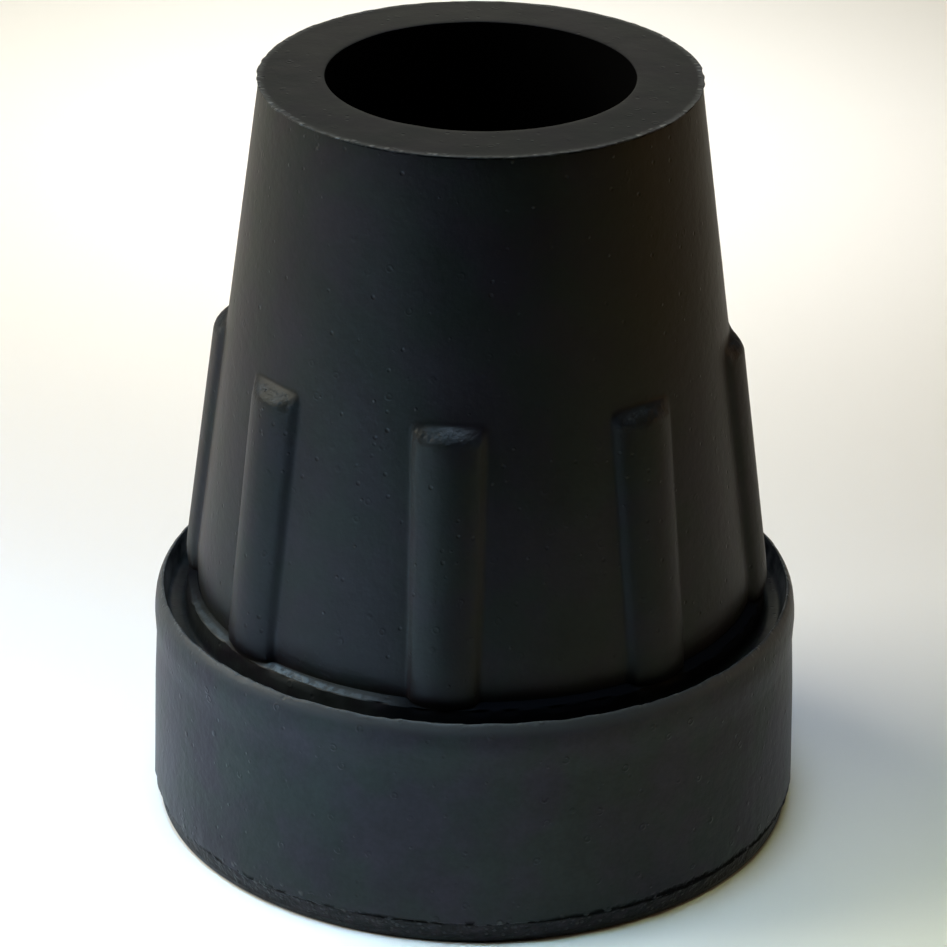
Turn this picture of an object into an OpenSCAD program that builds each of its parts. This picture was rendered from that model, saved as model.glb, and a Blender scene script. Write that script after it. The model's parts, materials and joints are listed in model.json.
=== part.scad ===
// Rubber tip for a walking cane, moulded in one piece: a tapered sleeve that grips the cane,
// raised ribs round its lower half, and a broad round foot whose rim stands clear of the sleeve.
// Z runs up the cane and is the axis of the socket. The tread stands on Z = 0, and -Y is the front.

/* [Heights] */
// Height from the tread to the mouth of the socket
tip_h = 56.5; // [50:0.5:80]
// Thickness of solid rubber under the end of the cane
sole_t = 14.5; // [9:0.5:20]
// Height of the foot's rim above the tread
rim_h = 17.4; // [13:0.2:24]

/* [Socket] */
// Diameter of the socket, a little under the cane so that it grips
socket_d = 21.8; // [16:0.1:26]
// Size of the chamfer at the mouth of the socket
mouth_chamfer = 0.1; // [0.1:0.1:1]
// Size of the chamfer round the floor of the socket
floor_chamfer = 1; // [0.2:0.1:3]

/* [Sleeve] */
// Outer diameter of the sleeve at its mouth
mouth_d = 31.2; // [30:0.2:38]
// Outer diameter of the sleeve where it meets the foot
sleeve_foot_d = 41.4; // [38:0.2:43]
// How far the sleeve tucks in where it meets the foot
neck_in = 0.35; // [0.05:0.05:0.8]
// Height over which it tucks in
neck_h = 2; // [0.5:0.1:5]
// How far the trimmed lip stands out round the mouth
lip_out = 0.15; // [0.05:0.05:0.5]
// Height of the trimmed lip
lip_h = 0.35; // [0.2:0.05:1.5]

/* [Ribs] */
// Number of ribs round the sleeve
rib_count = 8; // [3:1:10]
// Turn of the first rib from the front
rib_turn = -6; // [-30:0.5:30]
// Height at which the ribs start at their top ends
rib_top_h = 37.7; // [30:0.1:46]
// How far a rib stands out of the sleeve
rib_out = 1.05; // [0.5:0.05:1.8]
// Width of a rib
rib_w = 5.15; // [3.5:0.05:8]
// Slope of the bevel at a rib's top end
rib_bevel = 45; // [30:1:75]
// How far a rib stands out at its foot, on the ledge
rib_foot_out = 0.35; // [0.2:0.05:0.8]
// Length of the rounding at a rib's foot
rib_foot_round = 2.2; // [0.3:0.1:4]

/* [Foot] */
// Widest diameter of the foot, just over the tread band
foot_d = 47.6; // [47:0.2:56]
// Diameter of the foot's wall at the waist under the rim
waist_d = 46.9; // [46.4:0.1:55]
// How far the bead at the rim stands out of the waist
bead_out = 0.1; // [0.02:0.01:0.3]
// Drop from the rim to the waist
waist_drop = 4; // [2:0.2:6]
// Width of the ledge round the foot of the sleeve
ledge_w = 0.45; // [0.2:0.05:1.2]
// Rise of the ledge from its edge in to the sleeve
ledge_rise = 0.3; // [0:0.05:0.6]
// Width of the flat top of the rim
rim_flat = 0.15; // [0.1:0.05:0.8]
// Radius that rounds the rim into its bead
rim_r = 0.55; // [0.2:0.05:1]
// Depth of the groove between the rim and the sleeve
groove_depth = 1.8; // [1.5:0.1:5]
// Draft of the groove's walls
groove_draft = 8; // [0:0.5:12]

/* [Tread] */
// Height of the tread band under the parting line
band_h = 1.8; // [0.8:0.1:4]
// How far the tread band stands back at the parting line
band_step = 0.15; // [0.05:0.05:0.6]
// Radius of the tread's outer edge
tread_edge_r = 0.4; // [0.1:0.1:0.7]
// Taper of the tread band, from the parting line to the tread
band_taper = 0.2; // [0:0.05:0.6]
// Number of ring grooves in the tread
tread_grooves = 3; // [0:1:4]
// Radius of the outer ring groove at its middle
tread_groove_r = 18.5; // [17:0.5:20]
// Spacing of the ring grooves
tread_pitch = 5; // [3:0.5:5.5]
// Width of a ring groove at the tread
tread_groove_w = 2; // [1:0.1:2.6]
// Depth of a ring groove
tread_groove_depth = 1.6; // [0.5:0.1:3]

/* [Hidden] */
$fn = 96;
arc_steps = 6;                      // straight steps in a rounded corner
section_steps = 10;                 // straight steps over half of a rib's section
sunk = 1;                           // how deep a rib is rooted in the sleeve
seat = 0.1;                         // how deep a rib's foot is rooted in the ledge
over = 1;                           // how far a cutter runs past what it cuts
mouth_r = mouth_d / 2;
sleeve_foot_r = sleeve_foot_d / 2;
socket_r = socket_d / 2;
foot_r = foot_d / 2;
waist_r = waist_d / 2;
bead_r = waist_r + bead_out;
ledge_r = sleeve_foot_r + ledge_w;
rim_in_r = bead_r - rim_r - rim_flat;
groove_w = rim_in_r - ledge_r;
groove_lean = tan(groove_draft) * groove_depth;
groove_r = (groove_w - 2 * groove_lean) / 2;
band_r = foot_r - band_step;
tread_r = band_r - band_taper;
sleeve_lean = atan((sleeve_foot_r - mouth_r) / (tip_h - rim_h));
rib_len = (rib_top_h - rim_h) / cos(sleeve_lean);
bevel_len = rib_out / tan(rib_bevel);
bevel_start = rib_len - bevel_len;

// Points of an arc about c, from angle a to angle b
function arc(c, r, a, b) =
    [for (i = [0:arc_steps]) let (t = a + (b - a) * i / arc_steps) c + r * [cos(t), sin(t)]];

// Half of the outline of the tip, from the tread's middle out, up and back to the mouth's middle
function tip_outline() = concat(
    [[0, 0]],
    arc([tread_r - tread_edge_r, tread_edge_r], tread_edge_r, -90, 0),
    [[band_r, band_h], [foot_r, band_h], [waist_r, rim_h - waist_drop]],
    arc([bead_r - rim_r, rim_h - rim_r], rim_r, 0, 90),
    [[rim_in_r, rim_h]],
    arc([(rim_in_r + ledge_r) / 2, rim_h - groove_depth + groove_r], groove_r, 0, -180),
    [[ledge_r, rim_h], [sleeve_foot_r - neck_in, rim_h + ledge_rise]],
    [[sleeve_foot_r - neck_h * tan(sleeve_lean), rim_h + neck_h]],
    [[mouth_r, tip_h - lip_h], [mouth_r + lip_out, tip_h - lip_h]],
    [[mouth_r + lip_out, tip_h], [0, tip_h]]
);

// Rubber body of revolution, with no socket and no ribs yet
module moulded_body() {
    rotate_extrude() polygon(tip_outline());
}

// Blind hole for the cane, open at the mouth
module socket() {
    rotate_extrude() polygon([
        [0, sole_t],
        [socket_r - floor_chamfer, sole_t],
        [socket_r, sole_t + floor_chamfer],
        [socket_r, tip_h - mouth_chamfer],
        [socket_r + mouth_chamfer + over, tip_h + over],
        [0, tip_h + over]
    ]);
}

// Side view of a rib: X is out of the sleeve, Y runs up it from the rim's level
module rib_side() {
    foot = [for (i = [0:arc_steps]) let (a = 90 * i / arc_steps)
        [rib_foot_out + (rib_out - rib_foot_out) * sin(a), rib_foot_round * (1 - cos(a)) - seat]];
    polygon(concat([[-sunk, rib_len], [-sunk, -seat]], foot, [[rib_out, rib_len]]));
}

// Rounded section of a rib: X is out of the sleeve, Y runs round it
module rib_section() {
    crest = [for (i = [-section_steps:section_steps]) let (a = 90 * i / section_steps)
        [rib_out * cos(a), rib_w / 2 * sin(a)]];
    polygon(concat(crest, [[-sunk, rib_w / 2], [-sunk, -rib_w / 2]]));
}

// One rib, standing on the line where the sleeve meets the ledge. Its section sinks away
// into the sleeve at the top end.
module rib() {
    translate([sleeve_foot_r, 0, rim_h]) rotate([0, -sleeve_lean, 0]) {
        intersection() {
            rotate([90, 0, 0]) linear_extrude(height = 2 * rib_w, center = true) rib_side();
            translate([0, 0, -over]) linear_extrude(height = over + bevel_start) rib_section();
        }
        translate([0, 0, bevel_start])
            linear_extrude(height = bevel_len, scale = [0.02, 1], slices = 1) rib_section();
    }
}

module ribs() {
    for (i = [0:rib_count - 1]) rotate([0, 0, -90 + rib_turn + 360 * i / rib_count]) rib();
}

// Ring grooves cut up into the tread, narrower at their floors
module tread_rings() {
    w = tread_groove_w / 2;
    lean = tread_groove_depth / 4;
    for (i = [0:1:tread_grooves - 1]) let (r = tread_groove_r - i * tread_pitch)
        rotate_extrude() polygon([
            [r - w - lean * over / tread_groove_depth, -over],
            [r + w + lean * over / tread_groove_depth, -over],
            [r + w - lean, tread_groove_depth],
            [r - w + lean, tread_groove_depth]
        ]);
}

module cane_tip() {
    color([0.13, 0.13, 0.13]) difference() {
        union() {
            moulded_body();
            ribs();
        }
        socket();
        tread_rings();
    }
}

cane_tip();
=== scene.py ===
import json
import math

import bpy
import numpy as np
from mathutils import Matrix, Vector, noise


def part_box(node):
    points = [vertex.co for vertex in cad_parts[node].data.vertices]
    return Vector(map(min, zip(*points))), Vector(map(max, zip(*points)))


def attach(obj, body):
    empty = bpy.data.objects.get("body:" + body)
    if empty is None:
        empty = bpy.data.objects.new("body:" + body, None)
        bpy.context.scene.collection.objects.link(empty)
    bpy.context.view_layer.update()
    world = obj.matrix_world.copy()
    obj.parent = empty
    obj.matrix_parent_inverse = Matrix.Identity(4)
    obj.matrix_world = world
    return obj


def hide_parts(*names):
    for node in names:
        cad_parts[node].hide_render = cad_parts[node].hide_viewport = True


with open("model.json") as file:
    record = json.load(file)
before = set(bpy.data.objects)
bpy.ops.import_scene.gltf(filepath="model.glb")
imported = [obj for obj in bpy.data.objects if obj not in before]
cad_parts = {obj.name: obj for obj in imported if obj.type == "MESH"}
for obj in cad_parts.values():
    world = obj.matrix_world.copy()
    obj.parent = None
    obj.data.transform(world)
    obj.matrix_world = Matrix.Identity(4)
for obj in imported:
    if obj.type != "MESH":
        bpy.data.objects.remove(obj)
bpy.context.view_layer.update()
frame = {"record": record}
print("frame loaded")

mm = 0.001  # the dictionaries below are in millimetres and degrees, the scene is in metres

tip = {  # the outline of the moulding; a drop is measured down from the rim
    "mouthRadius": 15.5,
    "sleeveFootRadius": 20.62,
    "rimHeight": 17.4,
    "ledgeRadius": 21.15,
    "ledgeRise": 0.34,  # from its outer edge in to the sleeve
    "neckRadius": 20.3,  # where the sleeve tucks in behind the ledge
    "neckHeight": 2.0,
    "creaseDepth": 0.06,
    "creaseWidth": 0.08,
    "creaseTop": 0.1,  # how far over the ledge the sleeve begins to widen
    "grooveDepth": 1.8,
    "grooveLean": 0.15,  # of its inner wall
    "grooveFloorRadius": 22.5,  # outer wall of the groove, down at its floor
    "rimInnerRadius": 22.85,
    "rimOuterRadius": 22.98,  # where the rim's crest turns down into its shoulder
    "crestRadius": 23.22,
    "crestDrop": 0.3,
    "shoulderRadius": 23.4,
    "shoulderDrop": 0.8,
    "bulgeRadius": 23.55,
    "bulgeDrop": 2.0,
    "waistRadius": 23.44,
    "waistDrop": 4.1,
    "wallRadius": 23.6,
    "wallDrop": 7.8,
    "bandHeight": 1.8,
    "bandRadius": 23.68,
    "stepBelow": 0.05,  # the wall's step out over the band, from below the band's top to above it
    "stepAbove": 0.02,
    "treadRadius": 23.25,
    "lipOut": 0.22,
    "lipHeight": 0.14,
    "lipLean": 0.02,
    "lipUndercut": 0.03,
    "lipRoot": 0.1,  # how far below the lip its finer rows begin, and how far out the sleeve is there
    "lipRootOut": 0.02,
    "mouthChamfer": 0.08,
    "mouthFall": 0.1,  # how much lower the lip is than the socket's mouth
    "floorChamfer": 1.0,
    "innerRow": 0.3,  # radius of the smallest ring of points, on the tread and on the socket's floor
    "columnsPerRib": 48,
    "columnCrowding": 2.6,  # columns of points stand closer together on the ribs' flanks
    "crowdedAt": 7.6,  # from a rib's middle
    "crowdedReach": 1.7,
    "columnSteps": 721,  # of the fine scale that they are laid out on
    "arcStep": 26.0,  # between the points round a corner
}

ribs = {
    "count": 8,
    "turn": -6.0,  # of the first one from the front
    "topHeight": 37.7,
    "out": 1.0,
    "footWidth": 5.05,
    "topWidth": 5.2,
    "flankSlope": 54.0,
    "bevelSlope": 45.0,
    "footOut": 0.35,  # how far a rib stands out at the level of the ledge
    "footLength": 2.2,  # of the rounding above it
    "crown": 0.78,  # how much lower its crest is at the flanks than in the middle
    "shoulderRound": 0.25,
    "bevelRound": 0.38,
    "rootRound": 0.22,
    "rowsBelow": 1.7,  # finer rows of points from below its top end to above it
    "rowsAbove": 0.3,
    "tuckFilled": 0.25,  # how far it stands out where it fills the sleeve's tuck
    "ledgeLeft": 0.02,  # width of the ledge under its foot
}

treadRings = {
    "outerRadius": 18.5,
    "pitch": 5.0,
    "count": 3,
    "width": 2.0,
    "depth": 1.6,
}

unevenness = {  # the most that a place strays, its share where no lump is, and the lumps: strength, size, seed
    "lip": (0.12, 0.5, (0.8, 0.8, 1), (0.45, 2.6, 2)),
    "lipFoot": (0.1, 0.4, (1.4, 1.1, 11), (0.7, 0.45, 12)),
    "bevel": (0.09, 0.5, (1.0, 0.6, 14)),
    "ledge": (0.22, 0.35, (1.3, 1.0, 10)),
    "flashHeight": (0.16, 0.0, (1.0, 2.2, 3), (0.6, 0.7, 4)),
    "flashDepth": (0.12, 0.5, (1.0, 1.1, 5)),
    "band": (0.1, 0.5, (1.0, 0.6, 6)),
    "rim": (0.16, 0.4, (0.8, 2.0, 7), (0.5, 0.6, 13)),
    "wall": (0.03, 0.5, (1.0, 5.0, 8)),
    "mouthFace": (0.03, 0.5, (1.0, 2.4, 9)),
}

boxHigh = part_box("cane_tip")[1]
tipHeight = boxHigh.z / mm
footRadius = boxHigh.x / mm
lipTop = tipHeight - tip["mouthFall"]
rimHeight = tip["rimHeight"]
socket = next(m for m in frame["record"]["mounts"] if m["name"] == "cane_socket")
socketRadius = socket["dims"]["r_mm"]
socketFloor = socket["pos_m"][2] / mm - socket["dims"]["length_mm"] / 2 - tip["floorChamfer"]
sleeveLean = math.atan2(tip["sleeveFootRadius"] - tip["mouthRadius"], tipHeight - rimHeight)
ribLength = (ribs["topHeight"] - rimHeight) / math.cos(sleeveLean)


def tipCorners():
    # half outline from the middle of the tread to the middle of the socket's floor:
    # zone, radius, height, rounding of the corner, spacing of the rows that lead to it
    ledgeRadius, neckRadius, mouthRadius = tip["ledgeRadius"], tip["neckRadius"], tip["mouthRadius"]
    grooveFloor = rimHeight - tip["grooveDepth"]
    ledgeTop = rimHeight + tip["ledgeRise"]
    lipFoot = lipTop - tip["lipHeight"]
    lipRadius = mouthRadius + tip["lipOut"]
    ribEnd = ribs["topHeight"] - rimHeight

    def onSleeve(zone, up, bend, step):
        return zone, tip["sleeveFootRadius"] - up * math.tan(sleeveLean), rimHeight + up, bend, step

    def onWall(name, bend, step):
        return "wall", tip[name + "Radius"], rimHeight - tip[name + "Drop"], bend, step

    corners = [("tread", tip["innerRow"], 0.0, 0, 9)]
    for i in reversed(range(treadRings["count"])):
        ring = treadRings["outerRadius"] - i * treadRings["pitch"]
        half, lean = treadRings["width"] / 2, treadRings["depth"] / 4
        corners += [
            ("tread", ring - half, 0.0, 0.2, 2.0),
            ("tread", ring - half + lean, treadRings["depth"], 0.25, 1.2),
            ("tread", ring + half - lean, treadRings["depth"], 0.25, 1.2),
            ("tread", ring + half, 0.0, 0.2, 1.2),
        ]
    corners += [
        ("tread", tip["treadRadius"], 0.0, 0.5, 1.6),
        ("band", tip["bandRadius"], tip["bandHeight"] - tip["stepBelow"], 0.05, 0.22),
        ("flash", footRadius, tip["bandHeight"] + tip["stepAbove"], 0.08, 0.06),
        onWall("wall", 2.0, 1.0),
        onWall("waist", 1.2, 0.7),
        onWall("bulge", 3.0, 0.3),
        onWall("shoulder", 1.6, 0.2),
        onWall("crest", 0.7, 0.15),
        ("rim", tip["rimOuterRadius"], rimHeight, 0.15, 0.12),
        ("rim", tip["rimInnerRadius"], rimHeight, 0.08, 0.08),
        ("groove", tip["grooveFloorRadius"], grooveFloor, 0.5, 0.35),
        ("groove", ledgeRadius + tip["grooveLean"], grooveFloor, 0.4, 0.3),
        ("groove", ledgeRadius, rimHeight, 0.07, 0.3),
        ("ledge", neckRadius + tip["creaseWidth"], ledgeTop, 0.05, 0.1),
        ("crease", neckRadius, ledgeTop - tip["creaseDepth"], 0.03, 0.07),
        ("sleeveFoot", neckRadius, ledgeTop + tip["creaseTop"], 0.06, 0.06),
        onSleeve("sleeveFoot", tip["neckHeight"], 7, 0.16),
        onSleeve("sleeve", ribEnd - ribs["rowsBelow"], 0, 1.6),
        onSleeve("sleeve", ribEnd + ribs["rowsAbove"], 0, 0.2),
        ("sleeve", mouthRadius + tip["lipRootOut"], lipFoot - tip["lipRoot"], 0, 1.6),
        ("sleeve", mouthRadius, lipFoot, 0.03, 0.08),
        ("lip", lipRadius, lipFoot + tip["lipUndercut"], 0.03, 0.04),
        ("lip", lipRadius - tip["lipLean"], lipTop, 0.05, 0.06),
        ("mouthFace", socketRadius + tip["mouthChamfer"], tipHeight, 0.1, 0.55),
        ("bore", socketRadius, tipHeight - tip["mouthChamfer"], 0.08, 0.1),
        ("bore", socketRadius, socketFloor + tip["floorChamfer"], 0.2, 6.0),
        ("bore", socketRadius - tip["floorChamfer"], socketFloor, 0.3, 0.6),
        ("bore", tip["innerRow"], socketFloor, 0, 2.5),
    ]
    return corners


def traceOutline(corners):
    # rounds the corners and fills in rows between them: arrays of radius, height and zone
    points, zones = [], []
    places = [np.array(c[1:3], float) for c in corners]
    start = places[0]
    for i, (zone, _, _, bend, step) in enumerate(corners):
        here, arc = places[i], [places[i]]
        if bend and 0 < i < len(corners) - 1:
            back, ahead = places[i - 1] - here, places[i + 1] - here
            lengths = np.linalg.norm(back), np.linalg.norm(ahead)
            back, ahead = back / lengths[0], ahead / lengths[1]
            half = math.acos(max(-1.0, min(1.0, float(back @ ahead)))) / 2
            reach = min(bend / math.tan(half), 0.45 * lengths[0], 0.45 * lengths[1])  # two corners share a side
            count = 1 + int(abs(math.pi - 2 * half) / math.radians(tip["arcStep"]))
            arc = []
            for t in np.linspace(0, 1, count + 1):
                arc.append(here + reach * ((1 - t) ** 2 * back + t**2 * ahead))
        if i:
            gap = np.linalg.norm(arc[0] - start)
            inner = max(1, math.ceil(gap / step))
            for t in np.arange(1, inner) / inner:
                points.append(start * (1 - t) + arc[0] * t)
                zones.append(zone)
        points += arc
        zones += [zone] * len(arc)
        start = arc[-1]
    points = np.array(points)
    return points[:, 0], points[:, 1], np.array(zones)


def columnAngles():
    # in radians from +X
    pitch = 360 / ribs["count"]
    fine = np.linspace(-pitch / 2, pitch / 2, tip["columnSteps"])
    offFlank = (np.abs(fine) - tip["crowdedAt"]) / tip["crowdedReach"]
    crowding = 1 + tip["columnCrowding"] * np.exp(-(offFlank**2))
    share = np.cumsum(crowding) - crowding[0]
    one = np.interp(np.arange(tip["columnsPerRib"]) / tip["columnsPerRib"] * share[-1], share, fine)
    whole = [one + ribs["turn"] - 90 + i * pitch for i in range(ribs["count"])]
    return np.radians(np.concatenate(whole))


def rise(value, low, high):
    # 0 at low, 1 at high, even in between
    return np.clip((value - low) / (high - low), 0, 1)


def softMin(a, b, k):
    h = np.clip(0.5 + 0.5 * (b - a) / k, 0, 1)
    return b * (1 - h) + a * h - k * h * (1 - h)


def softMax(a, b, k):
    return -softMin(-a, -b, k)


def ribRelief(angles, radius, up):
    # how far the ribs stand out of the sleeve, up being the way from the ledge along its surface
    pitch = 2 * math.pi / ribs["count"]
    first = math.radians(ribs["turn"] - 90)
    off = (angles - first + pitch / 2) % pitch - pitch / 2
    across = np.abs(off) * radius
    halfWidth = (ribs["footWidth"] - (ribs["footWidth"] - ribs["topWidth"]) * up / ribLength) / 2
    side = (halfWidth - across) * math.tan(math.radians(ribs["flankSlope"]))
    end = (ribLength - up) * math.tan(math.radians(ribs["bevelSlope"])) / ribs["out"]
    foot = 1 - np.clip(1 - up / ribs["footLength"], 0, 1) ** 2
    crest = ribs["out"] - ribs["crown"] * (across / halfWidth) ** 2
    relief = softMin(crest, side, ribs["shoulderRound"])
    relief = softMax(relief, 0 * relief, ribs["rootRound"])
    relief = relief * (ribs["footOut"] / ribs["out"] + (1 - ribs["footOut"] / ribs["out"]) * np.sqrt(foot))
    return relief * softMin(np.maximum(end, 0), 1 + 0 * end, ribs["bevelRound"])


def wander(x, y, z, size, seed):
    # smooth noise between about -1 and 1 at each place, its lumps about size wide
    level = z / size + 17.3 * seed  # each seed has its own slice of the noise
    flat = zip((x / size).ravel(), (y / size).ravel(), level.ravel())
    return np.array([noise.noise(Vector(p)) for p in flat]).reshape(x.shape)


class Skin:
    # the moulding's surface as rows of points, each with a radius and a height, and a zone for each row

    def __init__(self):
        self.radii, self.heights, self.zones = traceOutline(tipCorners())
        self.angles = columnAngles()
        self.fromFront = (np.degrees(self.angles) + 270) % 360 - 180
        self.cosine, self.sine = np.cos(self.angles)[None, :], np.sin(self.angles)[None, :]
        self.r = np.repeat(self.radii[:, None], len(self.angles), axis=1)
        self.z = np.repeat(self.heights[:, None], len(self.angles), axis=1)

    def pick(self, *names):
        return np.isin(self.zones, names)

    def stray(self, name, rows, limits=(0, 1)):
        # how far these rows stray, as their line of unevenness says
        far, share, *layers = unevenness[name]
        x, y = self.r[rows] * self.cosine, self.r[rows] * self.sine
        for strength, size, seed in layers:
            share = share + strength * wander(x, y, self.z[rows], size, seed)
        return far * np.clip(share, *limits)


partings = {  # where one uneven place ends and the next begins
    "bevelStart": 0.5,  # how far below a rib's bevel its roughness fades in
    "bevelRelief": 0.4,  # how far a rib stands out where its bevel is all rough
    "driftHeight": 1.2,  # from here up the band follows the wandering parting line
    "wallHeight": 2.0,
    "rimInside": 0.2,
    "crestDepth": 0.6,
    "ledgeEdge": 0.06,
    "ledgeDepth": 0.1,
}


def shapeSkin(skin):
    # ribs, and the ledge that runs in under their feet
    r, z, radii, heights, pick = skin.r, skin.z, skin.radii, skin.heights, skin.pick
    angles = skin.angles[None, :]
    onSleeve = pick("sleeve", "sleeveFoot")
    up = (z[onSleeve] - rimHeight) / math.cos(sleeveLean)
    relief = ribRelief(angles, r[onSleeve], up)
    bevelFoot = ribLength - ribs["out"]
    bevelled = np.zeros(r.shape)
    bevelled[onSleeve] = rise(up, bevelFoot - partings["bevelStart"], bevelFoot)
    bevelled[onSleeve] *= rise(relief, 0, partings["bevelRelief"])
    relief = relief - bevelled[onSleeve] * skin.stray("bevel", onSleeve)
    tucked = tip["sleeveFootRadius"] - (z[onSleeve] - rimHeight) * math.tan(sleeveLean) - r[onSleeve]
    r[onSleeve] += relief * math.cos(sleeveLean) + np.maximum(tucked, 0) * rise(relief, 0, ribs["tuckFilled"])
    z[onSleeve] += relief * math.sin(sleeveLean)
    onLedge = pick("ledge", "crease")
    share = rise(r[onLedge], tip["ledgeRadius"], tip["neckRadius"])
    footRelief = ribRelief(angles, tip["sleeveFootRadius"], np.zeros((1, 1)))
    covered = np.clip(footRelief / ribs["footOut"], 0, 1)
    r[onLedge] += share * covered * (tip["ledgeRadius"] - tip["neckRadius"] - ribs["ledgeLeft"])
    z[onLedge] += (rimHeight - z[onLedge]) * covered

    # uneven edges and surfaces, nearly always inwards from the true form
    lip = pick("lip")
    r[lip] -= skin.stray("lip", lip)
    z[lip] += rise(z[lip], lipTop, lipTop - tip["lipHeight"]) * skin.stray("lipFoot", lip)
    drifting = pick("flash", "band") & (heights > partings["driftHeight"])
    z[drifting] += skin.stray("flashHeight", drifting, limits=(-2, 2))  # both ways, and never cut off
    for name, zone in (("flashDepth", "flash"), ("band", "band")):
        rows = pick(zone)
        r[rows] -= skin.stray(name, rows)
    crestFoot = rimHeight - partings["crestDepth"]
    rim = (radii > tip["rimInnerRadius"] - partings["rimInside"]) & (heights > crestFoot)
    z[rim] -= rise(z[rim], crestFoot, rimHeight) * skin.stray("rim", rim)
    wall = pick("wall") & (heights > partings["wallHeight"])
    r[wall] -= skin.stray("wall", wall)
    mouthFace = pick("mouthFace")
    z[mouthFace] -= skin.stray("mouthFace", mouthFace)
    ledgeEdge = pick("groove", "ledge") & (heights > rimHeight - partings["ledgeDepth"])
    ledgeEdge &= np.abs(radii - tip["ledgeRadius"]) < partings["ledgeEdge"]
    r[ledgeEdge] -= skin.stray("ledge", ledgeEdge)
    return bevelled, covered


markings = {  # where the shader's marks are: angles from the front, heights and radii
    # the strip of flash left on the ledge, with a painted highlight where it is lit: how much of it there is,
    # and the radius of its inner edge
    "flashAt": (-90, -80, -68, -60, -56, -46, -43, -38, -33, -22, -12),
    "flashShare": (0.0, 0.15, 0.35, 0.4, 0.25, 0.3, 1.0, 1.0, 0.7, 0.35, 0.0),
    "flashInner": (20.6, 20.6, 20.6, 20.55, 20.5, 20.5, 20.4, 20.45, 20.5, 20.65, 20.8),
    "flashFade": 0.12,
    "seamClosed": (8.0, 38.0),  # the dark parting line closes between these, and is dashes before them
    "fadedAt": (10.0, 45.0, 110.0, 150.0),  # painted warm reflection: the upper sleeve on the right is tinted brown and given a warm sheen
    "fadedShare": (0, 1, 1, 0),
    "fadedHeights": (32.0, 44.0),
    "underLipFrom": (-55.0, -25.0),  # the painted shadow under the lip's ragged edge
    # heights of the lines that the marks follow, and how far they reach up and down
    "rimEdge": (rimHeight - 0.05, 0.22),
    "lipEdge": (lipTop, 0.12),
    "shoulder": (rimHeight, 3.0),
    "ledgeTop": (rimHeight + 0.2, 0.35),
    "ledgeSide": (rimHeight - 0.2, 1.2),
    "seam": (tip["bandHeight"], 0.45),
    "underLip": (lipTop - tip["lipHeight"] - 0.02, 0.12),
    # heights at which a mark starts and is full
    "foot": (rimHeight - 0.1, rimHeight - 0.9),
    "rimWallFoot": (rimHeight - 1.8, rimHeight - 1.0),
    "rimWallTop": (rimHeight - 0.2, rimHeight - 0.35),
    "band": (tip["bandHeight"], tip["bandHeight"] - 0.2),
    # painted shade at the sleeve's foot
    "sunk": (rimHeight + 2.8, rimHeight),
    "sunkCurve": 1.3,
    # radii
    "mouthEdge": (tip["mouthRadius"] - 0.3, tip["mouthRadius"] + 0.2),
    "outside": tip["rimInnerRadius"] - 0.05,
    "ledgeWall": tip["ledgeRadius"] + 0.3,
    "rimWall": tip["ledgeRadius"] + 0.6,
    "inBore": socketRadius + 0.05,
    # strengths
    "rimShare": 0.6,  # of its crest's wear, the lip having all of it
    "mouthShare": 0.6,
    "sunkBetween": 0.3,  # of the painted shade at the sleeve's foot, the ribs having all of it
    "ribsClear": 0.3,  # how much less of the painted shade the ledge has at the ribs
    "ledgeTopGain": 2,
    "ledgeSideGain": 3,
    "litGain": 3,
}


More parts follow.
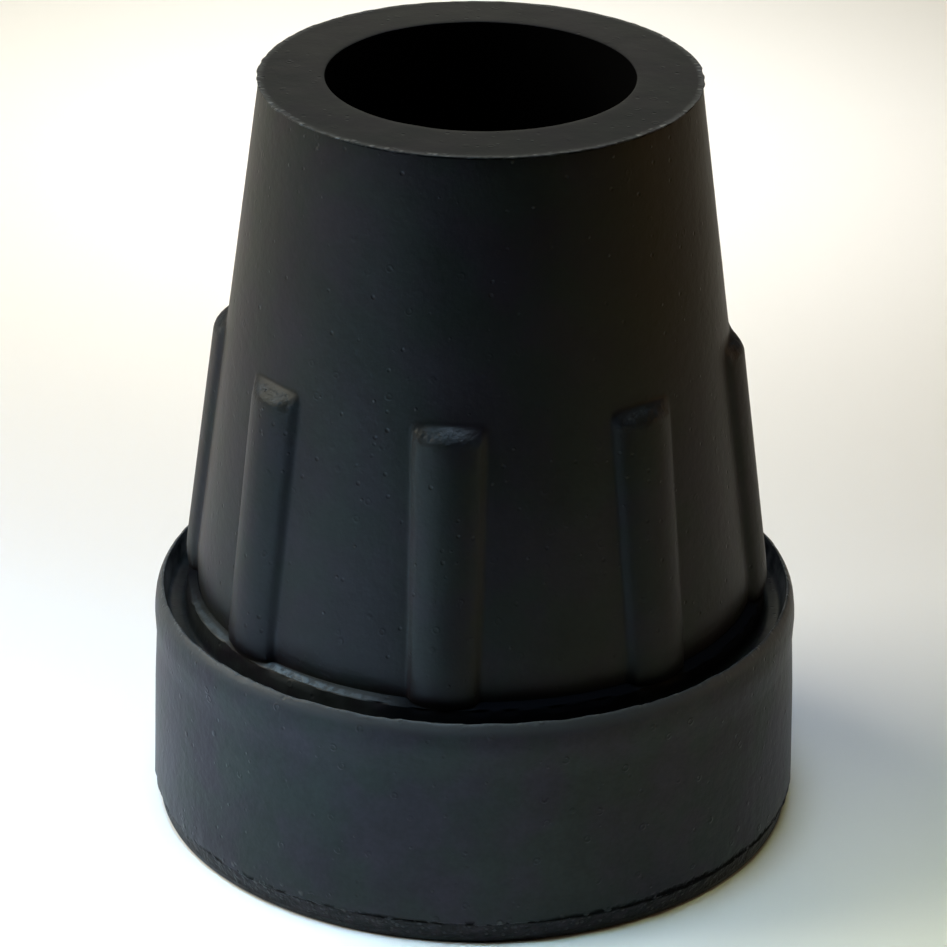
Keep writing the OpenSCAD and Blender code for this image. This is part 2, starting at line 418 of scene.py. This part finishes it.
def drawMarks(skin, bevelled, covered):
    # how much each point shares in the marks that the rubber's shader draws
    r, z, radii, fromFront, pick = skin.r, skin.z, skin.radii, skin.fromFront, skin.pick

    def only(rows, share):
        return np.where(rows[:, None], share, 0)

    def near(line, rows):
        height, reach = markings[line]
        return only(rows, np.clip(1 - np.abs(z - height) / reach, 0, 1))

    def rising(name, rows):
        return only(rows, rise(z, *markings[name]))

    def gained(name, rows):
        return np.clip(markings[name + "Gain"] * near(name, rows), 0, 1)

    lit = np.interp(fromFront, markings["flashAt"], markings["flashShare"])
    inner = np.interp(fromFront, markings["flashAt"], markings["flashInner"])
    onStrip = rise(r, inner, inner + markings["flashFade"])
    unlit = 1 - np.clip(markings["litGain"] * lit, 0, 1)
    outside = radii > markings["outside"]
    mouthFace = pick("mouthFace")
    ledgeTop = gained("ledgeTop", pick("ledge", "crease"))
    ledgeSide = gained("ledgeSide", pick("groove", "ledge") & (radii < markings["ledgeWall"]))
    mouthWear = only(mouthFace, markings["mouthShare"] * rise(r, *markings["mouthEdge"]))
    lipWear = np.maximum(near("lipEdge", pick("lip")), mouthWear)
    underLipShare = rise(fromFront, *markings["underLipFrom"])
    # painted warm reflection, strongest on the right side
    paintedWarmReflectionAround = np.interp(fromFront, markings["fadedAt"], markings["fadedShare"])
    paintedFootShadeShare = markings["sunkBetween"] + (1 - markings["sunkBetween"]) * covered
    # painted shade: the inside of the bore is painted near-black
    inBore = only(pick("bore") & (radii < markings["inBore"]), 1.0)
    # painted shade on the ledge's top and on its side in the groove, where the strip is not lit
    paintedLedgeShade = np.maximum(ledgeTop, ledgeSide) * unlit * (1 - markings["ribsClear"] * covered)
    # the groove's outer wall, which is painted lighter to stand in for light falling on it
    rimWall = pick("groove") & (radii > markings["rimWall"])
    return {
        "edge": np.maximum(markings["rimShare"] * near("rimEdge", outside), lipWear),
        "foot": rising("foot", pick("wall", "flash", "band")),
        "face": only(mouthFace, 1.0),
        "shoulder": near("shoulder", outside),
        # the ledge's strip of flash, with a painted highlight where it is lit
        "ledge": ledgeTop * lit * onStrip * (1 - covered),
        "seam": near("seam", pick("band", "flash", "wall")),
        "closed": rise(fromFront, *markings["seamClosed"])[None, :],
        "underLip": near("underLip", pick("lip", "sleeve")) * underLipShare,
        "band": rising("band", pick("band")),
        "bevel": bevelled,
        "faded": rising("fadedHeights", pick("sleeve")) * paintedWarmReflectionAround,
        "rimWall": rising("rimWallFoot", rimWall) * rising("rimWallTop", rimWall),
        # painted shade at the sleeve's foot, darker towards the ledge and full on the ribs
        "sunk": rising("sunk", pick("sleeve", "sleeveFoot")) ** markings["sunkCurve"] * paintedFootShadeShare,
        "moat": only(pick("groove", "ledge", "crease"), 1.0),
        "hidden": np.maximum(inBore, paintedLedgeShade),
    }


def buildTip():
    skin = Skin()
    marks = drawMarks(skin, *shapeSkin(skin))
    rows, columns = skin.r.shape
    places = np.stack([skin.r * skin.cosine, skin.r * skin.sine, skin.z], axis=-1).reshape(-1, 3)
    centres = [[0, 0, 0], [0, 0, socketFloor]]
    places = np.concatenate([places, centres]) * mm
    index = np.arange(rows * columns).reshape(rows, columns)
    after = np.roll(index, -1, axis=1)
    quads = np.stack([index[:-1], after[:-1], after[1:], index[1:]], axis=-1).reshape(-1, 4)
    bottom, top = rows * columns, rows * columns + 1
    faces = quads.tolist()
    faces += [[bottom, b, a] for a, b in zip(index[0], after[0])]
    faces += [[top, a, b] for a, b in zip(index[-1], after[-1])]
    mesh = bpy.data.meshes.new("rubberTip")
    mesh.from_pydata(places.tolist(), [], faces)
    for name, field in marks.items():
        attribute = mesh.attributes.new(name, "FLOAT", "POINT")
        field = np.broadcast_to(field, skin.r.shape).ravel()
        attribute.data.foreach_set("value", np.append(field, [0, 0]).astype(np.float32))
    mesh.shade_smooth()
    piece = bpy.data.objects.new("rubberTip", mesh)
    bpy.context.scene.collection.objects.link(piece)
    print("tip built:", rows, "rows,", columns, "columns,", len(faces), "faces")
    return piece


class Flow:
    # wraps a node's output so that shader maths reads as Python

    def __init__(self, tree, socket=None):
        self.tree, self.socket = tree, socket

    def node(self, kind, settings=None, values=None, out=0):
        made = self.tree.nodes.new(kind)
        for name, setting in (settings or {}).items():
            setattr(made, name, setting)
        for name, value in (values or {}).items():
            target = made.inputs[name]
            if isinstance(value, Flow):
                self.tree.links.new(value.socket, target)
            else:
                target.default_value = value
        return Flow(self.tree, made.outputs[out])

    def maths(self, operation, *terms):
        return self.node("ShaderNodeMath", {"operation": operation}, dict(enumerate(terms)))

    def __add__(self, other):
        return self.maths("ADD", self, other)

    __radd__ = __add__

    def __sub__(self, other):
        return self.maths("SUBTRACT", self, other)

    def __rsub__(self, other):
        return self.maths("SUBTRACT", other, self)

    def __mul__(self, other):
        return self.maths("MULTIPLY", self, other)

    __rmul__ = __mul__

    def between(self, low, high):
        # 0 below low, 1 above high, smooth in between
        settings = {"interpolation_type": "SMOOTHSTEP"}
        return self.node("ShaderNodeMapRange", settings, {"Value": self, "From Min": low, "From Max": high})


rubber = {
    "tone": (0.0052, 0.0052, 0.0055),
    "violet": (1.16, 0.9, 1.18),  # the tone drifts between these two
    "green": (0.88, 1.1, 0.92),
    "darkLight": (0.85, 1.6),  # how dark and how light its patches are
    "footTone": (0.011, 0.0116, 0.013),
    # painted highlight: the rim's rounded shoulder is made lighter near its crest
    "shoulderTone": (0.034, 0.0355, 0.038),
    "fadedTone": (0.0075, 0.0058, 0.0028),
    "fadedSheen": (1.0, 0.88, 0.55),
    "faceTone": (0.0082, 0.0084, 0.008),
    # painted light on the groove's outer wall
    "rimWallTone": (0.17, 0.165, 0.155),
    # painted highlight on the ledge's strip of flash where it is lit
    "ledgeTone": (0.075, 0.094, 0.108),
    "wornTone": (0.08, 0.083, 0.082),
    # painted highlight: a lighter, bluish tone on the up-facing bevels at the ribs' top ends
    "bevelTone": (0.023, 0.031, 0.04),
    "scuffTone": (0.028, 0.029, 0.03),
    "bandTone": (0.016, 0.013, 0.016),
    # lighter patches over the moat
    "dustyTone": (0.011, 0.0125, 0.0125),
    "bandTint": (0.0055, 0.006, 0.0068),
    # near-black for painted shade and for the parting line
    "deepTone": (0.0006, 0.0006, 0.0007),
    "moatTone": (0.0024, 0.0028, 0.0042),
    "specular": 0.153,
    "deepSpecular": 0.02,
    "roughness": 0.45,
    "mottleRoughness": 0.1,  # from the smoothest patch to the roughest
    "bandRoughness": 0.1,  # what the tread band and the face round the mouth add
    "faceRoughness": 0.15,
    "shares": {  # how strongly the marks show; where there are two, everywhere, and on top of that in patches
        "mottle": 0.6,
        "patches": 0.25,
        "flecks": 0.3,
        "faded": 0.8,
        "face": 0.6,
        "scuffs": 0.4,
        "specks": 0.5,
        "edge": (0.12, 0.38),
        "beads": 0.7,
        "seamBeads": 0.5,
        "bevel": (0.05, 0.35),
        "ledge": (0.3, 0.6),
        "line": 0.9,
        "shade": 0.85,
        "sunk": (0.45, 0.6),
        "grain": 0.65,  # how much of it is left off the foot
        "rings": 0.3,
        "faceSmooth": 0.4,
        "closedBare": 0.8,  # how many of the seam's beads are missing where it is closed
        "pebbles": 0.4,
    },
    "heights": {  # of the marks, in millimetres
        "grain": 0.016,
        "peel": 0.05,
        "pits": 0.038,
        "blisters": 0.045,
        "beads": 0.10,
        "seam": 0.06,
        "bandGrain": 0.17,
        "scratches": 0.008,
        "ledgeChips": 0.05,
        "bevelGrain": 0.08,
    },
    "clouds": {  # size of the lumps, finer layers of them, and the levels between which patches show
        "mottle": (7.0, 3.0, 0.3, 0.7),
        "patches": (1.3, 1.0, 0.3, 0.7),
        "flecks": (0.4, 2.0, 0.3, 0.7),
        "hue": (4.0, 2.0, 0.35, 0.65),
        "grain": (0.28, 2.0),
        "peel": (0.9, 2.0, 0.35, 0.65),
        "ragged": (0.5, 2.0, 0.35, 0.6),
        "ringBreaks": (0.5, 1.0, 0.35, 0.55),
        "streaks": (0.28, 1.0, 0.6, 0.72),
        "streakPlaces": (2.2, 2.0, 0.45, 0.6),
        "dashes": (0.8, 2.0, 0.46, 0.56),
        "shadeBreaks": (1.0, 2.0, 0.4, 0.5),
        "bandStains": (0.9, 3.0, 0.35, 0.65),
        "bandGrain": (0.7, 3.0),
        "dust": (2.0, 2.0, 0.3, 0.7),
        "bevelGrain": (0.35, 2.0),
    },
    "streakStretch": (1, 1, 0.16),
    "spots": {  # spacing, share of the places that have one, and the radii between which it fades
        "pits": (1.0, 0.3, 0.04, 0.2),
        "specks": (1.3, 0.5, 0.03, 0.16),
        "beads": (0.55, 0.55, 0.1, 0.26),
        "seamBeads": (1.1, 0.5, 0.1, 0.3),
        "pebbles": (0.42, 0.7, 0.06, 0.2),
        "rings": (1.8, 0.7, 0.1, 0.22, 0.36),  # the radii of the inside, the crest and the outside
    },
    "spotBorder": 0.02,
    "levels": {  # of the marks, between which these show
        "line": (0.6, 0.98),
        "shade": (0.3, 0.6),
        "seamBeads": (0.15, 0.5),
        "shoulder": (0.62, 0.88),
    },
    "closedLine": (0.45, 0.16),  # how much wider and less broken the line is where it is closed
}


def makeRubber():
    material = bpy.data.materials.new("mouldedRubber")
    material.use_nodes = True
    tree = material.node_tree
    tree.nodes.clear()
    flow = Flow(tree)
    shares, heights, levels = rubber["shares"], rubber["heights"], rubber["levels"]
    place = flow.node("ShaderNodeTexCoord", out="Object")
    place = flow.node("ShaderNodeVectorMath", {"operation": "SCALE"}, {0: place, "Scale": 1 / mm})

    def mark(name):
        return flow.node("ShaderNodeAttribute", {"attribute_name": name}, out="Fac")

    def cloud(name, where=place):
        size, layers = rubber["clouds"][name][:2]
        return flow.node("ShaderNodeTexNoise", None, {"Vector": where, "Scale": 1 / size, "Detail": layers})

    def patchy(name, lumps):
        return lumps.between(*rubber["clouds"][name][2:])

    def patches(name, where=place):
        return patchy(name, cloud(name, where))

    def scatter(name):
        # scattered spots: how far the nearest middle is in millimetres, whether it is there, and its radii
        spacing, chance, *radii = rubber["spots"][name]
        away = flow.node("ShaderNodeTexVoronoi", None, {"Vector": place, "Scale": 1 / spacing})
        colour = Flow(tree, away.socket.node.outputs["Color"])
        drawn = flow.node("ShaderNodeSeparateColor", None, {"Color": colour})
        border = rubber["spotBorder"]
        return away * spacing, drawn.between(1 - chance - border, 1 - chance + border), radii

    def spots(name):
        away, there, radii = scatter(name)
        return there * (1 - away.between(*radii))

    def mix(low, high, share):
        ends = [c if isinstance(c, Flow) else (*c, 1.0) for c in (low, high)]
        return flow.node("ShaderNodeMix", {"data_type": "RGBA"}, {0: share, 6: ends[0], 7: ends[1]}, out=2)

    # small marks: rings and specks all over, beads on the edges, dashes and beads along the seam
    away, there, (inside, crest, outside) = scatter("rings")
    rings = there * away.between(inside, crest) * (1 - away.between(crest, outside)) * patches("ringBreaks")
    pits, specks, beads, seamBeads, pebbles = map(spots, ("pits", "specks", "beads", "seamBeads", "pebbles"))
    stretch = {0: place, 1: rubber["streakStretch"]}
    streaked = flow.node("ShaderNodeVectorMath", {"operation": "MULTIPLY"}, stretch)
    scratches = patches("streaks", where=streaked) * patches("streakPlaces")

    mottle, grain, peel, flecks = map(cloud, ("mottle", "grain", "peel", "flecks"))
    ragged, hue = patches("ragged"), patches("hue")

    edge, shoulder, ledge, foot, face = map(mark, ("edge", "shoulder", "ledge", "foot", "face"))
    seam, closed, band, moat = map(mark, ("seam", "closed", "band", "moat"))
    bevel, sunk, faded, hidden = map(mark, ("bevel", "sunk", "faded", "hidden"))
    wider, lessBroken = rubber["closedLine"]
    line = (seam + closed * flecks * wider).between(*levels["line"])
    line = line * patchy("dashes", cloud("dashes") + closed * lessBroken)
    # painted shadow under the lip, broken into patches
    shade = mark("underLip").between(*levels["shade"]) * patches("shadeBreaks")
    beadShare = edge * beads
    seamShare = seam.between(*levels["seamBeads"]) * seamBeads * (1 - closed * shares["closedBare"])
    scuffs = scratches * shoulder

    blotches = patchy("mottle", mottle) * shares["mottle"] + patches("patches") * shares["patches"]
    blotches = blotches + patchy("flecks", flecks) * shares["flecks"]

    def drift(tone):
        # violet and greenish patches, each in a darker and a lighter form
        tints = [(k, rubber[name]) for k in rubber["darkLight"] for name in ("violet", "green")]
        ends = [[c * h * k for c, h in zip(tone, tint)] for k, tint in tints]
        return mix(mix(*ends[:2], hue), mix(*ends[2:], hue), blotches)

    def inPatches(name, lumps):
        everywhere, more = shares[name]
        return everywhere + lumps * more

    def fromFoot(name):
        # all of it on the foot, and its share elsewhere
        return shares[name] + foot * (1 - shares[name])

    bandColour = mix(rubber["bandTint"], rubber["bandTone"], patches("bandStains"))
    worn = edge * inPatches("edge", ragged) + beadShare * shares["beads"] + seamShare * shares["seamBeads"]
    colour = mix(drift(rubber["tone"]), drift(rubber["footTone"]), foot)
    for tone, cover in (
        # painted highlight on the rim's shoulder
        (rubber["shoulderTone"], shoulder.between(*levels["shoulder"])),
        # painted warm reflection: a brown tint on the upper right of the sleeve
        (rubber["fadedTone"], faded * shares["faded"]),
        (rubber["faceTone"], face * shares["face"]),
        # painted light on the groove's outer wall
        (rubber["rimWallTone"], mark("rimWall")),
        (bandColour, band),
        (rubber["scuffTone"], band * pebbles),
        # lighter patches over the moat
        (rubber["dustyTone"], moat * patches("dust")),
        (rubber["scuffTone"], scuffs * shares["scuffs"] + specks * shares["specks"]),
        # painted highlight on the ribs' bevels
        (rubber["bevelTone"], bevel * inPatches("bevel", patchy("peel", peel))),
        (rubber["wornTone"], worn),
        # painted highlight on the ledge's strip of flash
        (rubber["ledgeTone"], ledge * inPatches("ledge", ragged)),
    ):
        colour = mix(colour, tone, cover)

    roughness = rubber["roughness"] + (mottle - 0.5) * rubber["mottleRoughness"]
    roughness = roughness + band * rubber["bandRoughness"] + face * rubber["faceRoughness"]
    fine = grain * heights["grain"] + peel * heights["peel"]
    relief = (
        fine * fromFoot("grain") * (1 - face * shares["faceSmooth"])
        + (specks + rings * fromFoot("rings")) * heights["blisters"]
        - pits * heights["pits"]
        + (beadShare + seamShare) * heights["beads"]
        - line * heights["seam"]
        + band * (cloud("bandGrain") + pebbles * shares["pebbles"]) * heights["bandGrain"]
        + scuffs * heights["scratches"]
        + ledge * ragged * heights["ledgeChips"]
        + bevel * cloud("bevelGrain") * heights["bevelGrain"]
    )
    bump = flow.node("ShaderNodeBump", None, {"Strength": 1.0, "Distance": mm, "Height": relief})

    # the rubber, a copy of it with a painted warm reflection, and a near-black that paints shade in the bore,
    # on the ledge, under the lip and at the sleeve's foot, and draws the parting line
    values = {"Base Color": colour, "Roughness": roughness, "Normal": bump}
    values["Specular IOR Level"] = rubber["specular"]
    surface = flow.node("ShaderNodeBsdfPrincipled", None, values)
    # a copy of the rubber whose warm specular tint paints a warm reflection
    values["Specular Tint"] = (*rubber["fadedSheen"], 1)
    warm = flow.node("ShaderNodeBsdfPrincipled", None, values)
    surface = flow.node("ShaderNodeMixShader", None, {0: faded, 1: surface, 2: warm})
    # the painted shade is lighter and bluer in the moat and at the sleeve's foot
    shadeAndSeamColour = mix(rubber["deepTone"], rubber["moatTone"], moat + sunk)
    values = {"Base Color": shadeAndSeamColour, "Roughness": 1.0, "Specular IOR Level": rubber["deepSpecular"]}
    shadeAndSeam = flow.node("ShaderNodeBsdfPrincipled", None, values)
    # where the near-black goes: the parting line, and painted shade and shadow
    dark = line * shares["line"] + shade * shares["shade"] + sunk * inPatches("sunk", peel)
    dark = flow.maths("MAXIMUM", hidden, dark)
    surface = flow.node("ShaderNodeMixShader", None, {0: dark, 1: surface, 2: shadeAndSeam})
    tree.links.new(surface.socket, tree.nodes.new("ShaderNodeOutputMaterial").inputs["Surface"])
    print("rubber ready:", len(tree.nodes), "nodes")
    return material


piece = buildTip()
piece.data.materials.append(makeRubber())
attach(piece, "root")
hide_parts("cane_tip")

studio = {
    "worldTone": (1.0, 1.0, 1.0),
    "worldStrength": 0.001,
    "floorSize": 3000.0,
    "floorFinish": {"Base Color": (0.85, 0.85, 0.85, 1), "Roughness": 0.9, "Specular IOR Level": 0.2},
    "cardFinish": {"Base Color": (0.001, 0.001, 0.001, 1), "Specular IOR Level": 0.0},
    "cardWidth": 120.0,
    "cardMiddle": 15.0,  # how far right of the part it stands
    "cardHeight": 80.0,
    "cardAway": 95.0,
    "lights": [  # name, place, target, size, spread, power in watts, tone
        ("key", (-363.0, 64.0, 288.1), (0.0, 0.0, 28.0), 400.0, 180.0, 2.71, (1.0, 0.95, 0.79)),
        ("overhead", (0.0, 0.0, 250.0), (0.0, 0.0, 0.0), 80.0, 40.0, 0.016, (0.65, 0.79, 1.0)),
        ("floorFrontLeft", (-75.0, -75.0, 250.0), (-75.0, -75.0, 0.0), 80.0, 40.0, 0.172, (0.385, 0.72, 1.0)),
        ("floorLeft", (-100.0, 0.0, 250.0), (-100.0, 0.0, 0.0), 80.0, 40.0, 0.026, (0.38, 0.59, 1.0)),
        ("floorFrontRight", (75.0, -75.0, 250.0), (75.0, -75.0, 0.0), 80.0, 40.0, 0.036, (0.89, 1.0, 0.59)),
        ("floorBack", (0.0, 130.0, 250.0), (0.0, 130.0, 0.0), 80.0, 40.0, 0.03, (1.0, 1.0, 1.0)),
        ("back", (0.0, 391.3, 113.2), (0.0, 0.0, 28.0), 200.0, 180.0, 0.17, (1.0, 0.97, 0.8)),
        ("warmSide", (391.3, 0.0, 113.2), (0.0, 0.0, 28.0), 200.0, 180.0, 0.13, (1.0, 0.62, 0.32)),
        ("warmBack", (338.8, 195.6, 113.2), (0.0, 0.0, 28.0), 200.0, 180.0, 0.062, (1.0, 0.62, 0.32)),
    ],
    "lens": 173.51,
    "sensor": 36.0,
    "cameraPlace": (-0.2, -300.0, 167.889),
    "cameraPitch": 25.369,
    "cameraRoll": 0.630,
    "cameraReach": (10.0, 10000.0),  # nearest and furthest that it sees
}


def makeBoard(name, corners, materialName, finish):
    mesh = bpy.data.meshes.new(name)
    mesh.from_pydata([[c * mm for c in corner] for corner in corners], [], [(0, 1, 2, 3)])
    board = bpy.data.objects.new(name, mesh)
    bpy.context.scene.collection.objects.link(board)
    material = bpy.data.materials.new(materialName)
    material.use_nodes = True
    surface = material.node_tree.nodes["Principled BSDF"]
    for socketName, value in finish.items():
        surface.inputs[socketName].default_value = value
    mesh.materials.append(material)
    return board


def makeStudio():
    scene = bpy.context.scene
    scene.view_settings.view_transform = "Standard"
    world = bpy.data.worlds.new("softRoom")
    scene.world = world
    world.use_nodes = True
    background = world.node_tree.nodes["Background"]
    background.inputs["Color"].default_value = (*studio["worldTone"], 1)
    background.inputs["Strength"].default_value = studio["worldStrength"]

    half = studio["floorSize"] / 2
    corners = [(-half, -half, 0), (half, -half, 0), (half, half, 0), (-half, half, 0)]
    floor = makeBoard("floor", corners, "paleFloor", studio["floorFinish"])

    # a dark card in front, seen only by bounced light
    left, right = (studio["cardMiddle"] + side * studio["cardWidth"] / 2 for side in (-1, 1))
    y, high = -studio["cardAway"], studio["cardHeight"]
    corners = [(left, y, 0), (right, y, 0), (right, y, high), (left, y, high)]
    flag = makeBoard("card", corners, "darkCard", studio["cardFinish"])
    flag.visible_camera = flag.visible_shadow = False

    for name, place, target, size, spread, power, tone in studio["lights"]:
        lamp = bpy.data.lights.new(name, "AREA")
        lamp.shape, lamp.size, lamp.spread = "DISK", size * mm, math.radians(spread)
        lamp.energy, lamp.color = power, tone
        light = bpy.data.objects.new(name, lamp)
        light.location = Vector(place) * mm
        light.rotation_mode = "QUATERNION"
        light.rotation_quaternion = (Vector(target) * mm - light.location).to_track_quat("-Z", "Y")
        scene.collection.objects.link(light)

    lens = bpy.data.cameras.new("camera")
    lens.lens, lens.sensor_width = studio["lens"], studio["sensor"]
    lens.clip_start, lens.clip_end = (reach * mm for reach in studio["cameraReach"])
    camera = bpy.data.objects.new("camera", lens)
    turn = Matrix.Rotation(math.radians(90 - studio["cameraPitch"]), 4, "X")
    roll = Matrix.Rotation(math.radians(studio["cameraRoll"]), 4, "Z")
    camera.matrix_world = Matrix.Translation(Vector(studio["cameraPlace"]) * mm) @ turn @ roll
    scene.collection.objects.link(camera)
    scene.camera = camera
    print("studio ready")


makeStudio()

bpy.context.view_layer.update()
